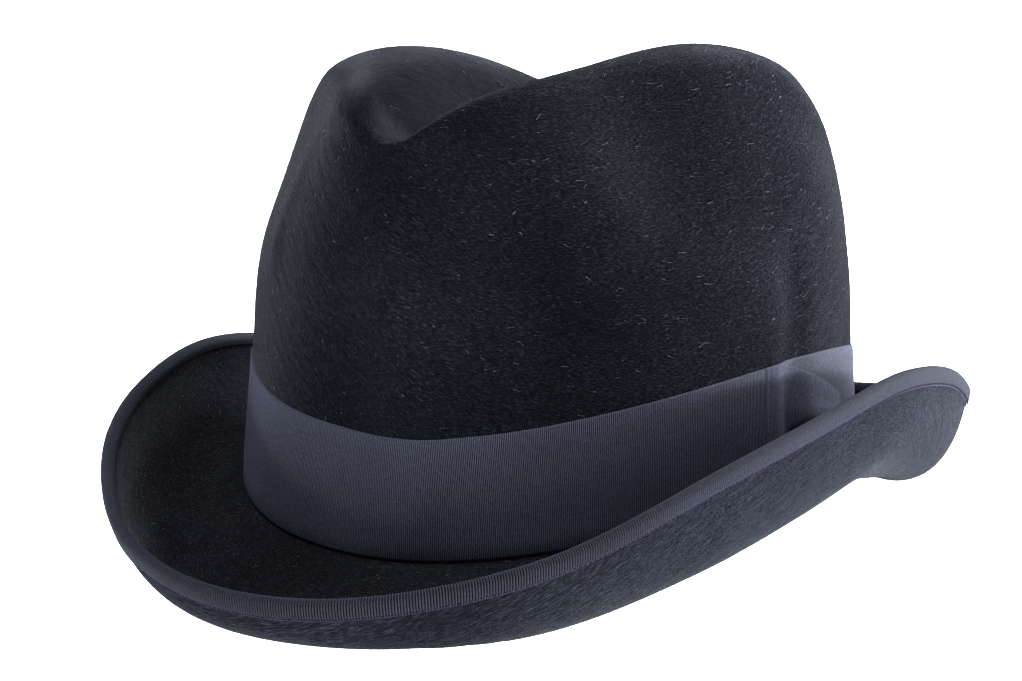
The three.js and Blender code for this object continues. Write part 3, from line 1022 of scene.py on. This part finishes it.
def felt_material():
    shader = Shader(
        "felt", roughness=0.9, sheen=0.12, sheen_roughness=0.2, sheen_tint=FELT_SHEEN, specular=0
    )
    streaks = shader.noise(shader.flow((0.7, 0.7, 3.2)), 3.0, 0.6)
    clumps = shader.noise(shader.flow((0.08, 0.08, 0.35)), 2.0)
    mottle = shader.noise(shader.place(22), 2.0)
    base = shader.ramp(streaks, (0.3, FELT_DARK), (0.55, FELT_MID), (0.8, FELT_PALE))
    cloud = shader.ramp(mottle, (0.3, (0.7, 0.7, 0.7)), (0.7, (1.25, 1.25, 1.2)))
    base = shader.blend(base, cloud, 1.0, "MULTIPLY")
    # Painted light: the inner skin, under the brim and inside the crown, is made lighter and
    # bluer.
    underside_painted_light = shader.blend(base, shader.plain(UNDER_PAINTED_LIGHT), 1.0, "MULTIPLY")
    shader.colour(shader.blend(base, underside_painted_light, shader.underside()))
    soft = shader.bump(clumps, 0.0012, 0.35)
    shader.normal(shader.bump(streaks, 0.0005, 0.8, soft))
    return shader.material


def fibre_material(name, colour):
    shader = Shader(
        name, roughness=0.8, sheen=0, sheen_roughness=0.4, sheen_tint=FELT_SHEEN, specular=0
    )
    tone = shader.noise(shader.place(900), 1.0)
    pale = tuple(FIBRE_LIGHTEST * part for part in colour)
    dark = tuple(FIBRE_DARKEST * part for part in colour)
    shader.colour(shader.ramp(tone, (0.35, dark), (0.7, pale)))
    return shader.material


def ribbon_material(name, tone):
    shader = Shader(
        name, roughness=0.7, sheen=0.06, sheen_roughness=0.3, sheen_tint=RIBBON_SHEEN,
        specular=0.02,
    )
    threads = shader.noise(shader.flow(RIBBON_WEAVE), 2.0, 0.6)
    shade = shader.noise(shader.place(14), 2.0)
    thread = shader.ramp(threads, (0.25, RIBBON_DARK), (0.75, RIBBON_PALE))
    # Painted shade: the ribbon is darkened in the grooves between its ribs.
    groove = shader.ramp(shader.rib_crest(), (0.3, (0, 0, 0)), (0.9, (1, 1, 1)))
    base = shader.blend(shader.plain(RIBBON_GROOVE_PAINTED_SHADE), thread, groove)
    # tone makes a lighter or darker copy of the ribbon; for the binding and the bow this is
    # painted shade and painted light.
    cloud = shader.ramp(shade, (0.3, (0.85 * tone,) * 3), (0.7, (1.15 * tone,) * 3))
    shader.colour(shader.blend(base, cloud, 1.0, "MULTIPLY"))
    shader.normal(shader.bump(threads, 0.00012, 0.6))
    return shader.material


def thread_material():
    shader = Shader(
        "thread", roughness=0.9, sheen=0, sheen_roughness=0.4, sheen_tint=RIBBON_SHEEN, specular=0
    )
    tone = shader.noise(shader.place(700), 1.0)
    shader.colour(shader.ramp(tone, (0.3, THREAD_DARK), (0.7, THREAD_PALE)))
    return shader.material


# The hat

def dress_hat():
    felt = felt_material()
    ribbon = ribbon_material("ribbon", BAND_TONE)
    body = felt_body()
    dress(body, felt)
    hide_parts("felt_body")

    band, band_length = ribbon_band()
    dress(band, ribbon)
    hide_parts("ribbon_band")

    binding, binding_length = brim_binding()
    dress(binding, ribbon_material("binding", BINDING_PAINTED_SHADE))
    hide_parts("brim_binding")

    bow = ribbon_material("bow", BOW_PAINTED_LIGHT)
    wing, wing_flat = bow_tail()
    dress(wing, bow)
    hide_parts("bow_tail")
    wrap, wrap_flat = bow_knot()
    dress(wrap, bow)
    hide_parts("bow_knot")

    stitches = binding_stitches()
    dress(stitches, thread_material())

    dress_nap()


def dress_nap():
    """Short fibres on the crown, the brim and its underside, and a few long ones on top."""
    phi, outer, normals = felt_rows()
    outer, inner = felt_skins(outer, normals)
    rows = np.arange(len(outer))[:, None] * np.ones((1, len(phi)))
    height = outer[..., 2] - foot_point(phi)[2][None, :]
    from_edge = climbs(outer)
    crown = (rows > FELT_BRIM_ROWS) & (height > RIBBON_HEIGHT)
    brim = (rows < FELT_BRIM_ROWS) & (from_edge > BINDING_OVER)
    under = (rows < FELT_BRIM_ROWS) & (from_edge > BINDING_UNDER)
    short = (NAP_LENGTH, NAP_WIDTH, NAP_LIFT)
    long = (STRAY_LENGTH, STRAY_WIDTH, STRAY_LIFT)
    over, beneath = (outer, normals), (inner, -normals)
    pieces = (
        ("nap_crown", 1, over, crown, NAP_FIBRES_CROWN, short, "nap", FIBRE),
        # Painted light: the fibres on the brim and under it are lighter than those on the crown.
        ("nap_brim", 2, over, brim, NAP_FIBRES_BRIM, short, "nap_brim", FIBRE_BRIM_PAINTED_LIGHT),
        ("nap_under", 3, beneath, under, NAP_FIBRES_UNDER, short, "nap_under", FIBRE_UNDER_PAINTED_LIGHT),
        ("strays", 4, over, crown | brim, STRAY_FIBRES, long, "stray_fibres", STRAY),
    )
    for name, seed, skin, free, count, lie, material, colour in pieces:
        fibres = nap(name, seed, *skin, phi, count, free.astype(float), *lie)
        dress(fibres, fibre_material(material, colour))


# Camera, floor and light

def camera():
    azimuth = math.radians(CAMERA_AZIMUTH)
    elevation = math.radians(CAMERA_ELEVATION)
    roll = math.radians(CAMERA_ROLL)
    back = Vector(
        (
            math.sin(azimuth) * math.cos(elevation),
            -math.cos(azimuth) * math.cos(elevation),
            math.sin(elevation),
        )
    )
    right = Vector((math.cos(azimuth), math.sin(azimuth), 0))
    up = back.cross(right)
    across = -CAMERA_AIM_ACROSS * math.cos(roll) - CAMERA_AIM_UP * math.sin(roll)
    above = CAMERA_AIM_ACROSS * math.sin(roll) - CAMERA_AIM_UP * math.cos(roll)
    middle = Vector((0, -HEAD_FORWARD, CAMERA_MIDDLE_HEIGHT))
    centre = (middle + right * across + up * above + back * CAMERA_DISTANCE) * MM
    turned_right = right * math.cos(roll) - up * math.sin(roll)
    turned_up = right * math.sin(roll) + up * math.cos(roll)
    data = bpy.data.cameras.new("camera")
    data.sensor_width = SENSOR_WIDTH
    data.lens = FOCAL_PIXELS * SENSOR_WIDTH / FRAME_PIXELS
    data.clip_end = 50
    lens = bpy.data.objects.new("camera", data)
    bpy.context.scene.collection.objects.link(lens)
    turn = Matrix((turned_right, turned_up, back)).transposed().to_4x4()
    lens.matrix_world = Matrix.Translation(centre) @ turn
    bpy.context.scene.camera = lens


def floor():
    size = FLOOR_HALF_SIZE
    points = [(-size, -size, 0), (size, -size, 0), (size, size, 0), (-size, size, 0)]
    piece = make_mesh("floor", np.array(points) / MM, quads=[[0, 1, 2, 3]])
    material = bpy.data.materials.new("floor")
    material.use_nodes = True
    surface = material.node_tree.nodes["Principled BSDF"]
    surface.inputs["Base Color"].default_value = (0.9, 0.9, 0.9, 1)
    surface.inputs["Roughness"].default_value = 0.9
    surface.inputs["Specular IOR Level"].default_value = 0.1
    surface.inputs["Emission Color"].default_value = (1, 1, 1, 1)
    surface.inputs["Emission Strength"].default_value = FLOOR_GLOW
    piece.data.materials.append(material)


def soft_light(name, place, aim, size, power):
    data = bpy.data.lights.new(name, "AREA")
    data.shape = "RECTANGLE"
    data.size, data.size_y = size
    data.energy = power
    light = bpy.data.objects.new(name, data)
    bpy.context.scene.collection.objects.link(light)
    light.location = place
    light.rotation_euler = (Vector(aim) - Vector(place)).to_track_quat("-Z", "Y").to_euler()


def studio():
    """A white room that is brighter behind the hat than in front of it."""
    world = bpy.data.worlds.new("studio")
    world.use_nodes = True
    nodes, links = world.node_tree.nodes, world.node_tree.links
    direction = nodes.new("ShaderNodeTexCoord")
    facing = nodes.new("ShaderNodeVectorMath")
    facing.operation = "DOT_PRODUCT"
    facing.inputs[1].default_value = ROOM_BRIGHT_SIDE
    links.new(direction.outputs["Generated"], facing.inputs[0])
    strength = nodes.new("ShaderNodeMapRange")
    strength.interpolation_type = "SMOOTHSTEP"
    for name, value in (
        ("From Min", ROOM_TURN), ("From Max", 1), ("To Min", ROOM_DIM), ("To Max", ROOM_BRIGHT),
    ):
        strength.inputs[name].default_value = value
    links.new(facing.outputs["Value"], strength.inputs["Value"])
    background = nodes["Background"]
    background.inputs["Color"].default_value = (1, 1, 1, 1)
    links.new(strength.outputs["Result"], background.inputs["Strength"])
    bpy.context.scene.world = world


def light():
    studio()
    aim = (0, 0, 0.07)
    soft_light("back_right", (0.95, 1.0, 0.22), aim, (0.7, 0.4), 32)
    soft_light("right", (1.15, 0.95, 0.04), (0.08, 0.03, 0.02), (0.6, 0.07), 75)
    soft_light("front_top", (-0.1, -0.35, 1.4), aim, (0.7, 0.7), 34)
    soft_light("left", (-1.1, -0.8, 0.06), (-0.1, 0, 0.02), (0.5, 0.1), 8)
    soft_light("top", (0.5, 0.95, 0.8), aim, (0.5, 0.5), 60)
    bpy.context.scene.view_settings.view_transform = "Standard"


camera()
dress_hat()
floor()
light()
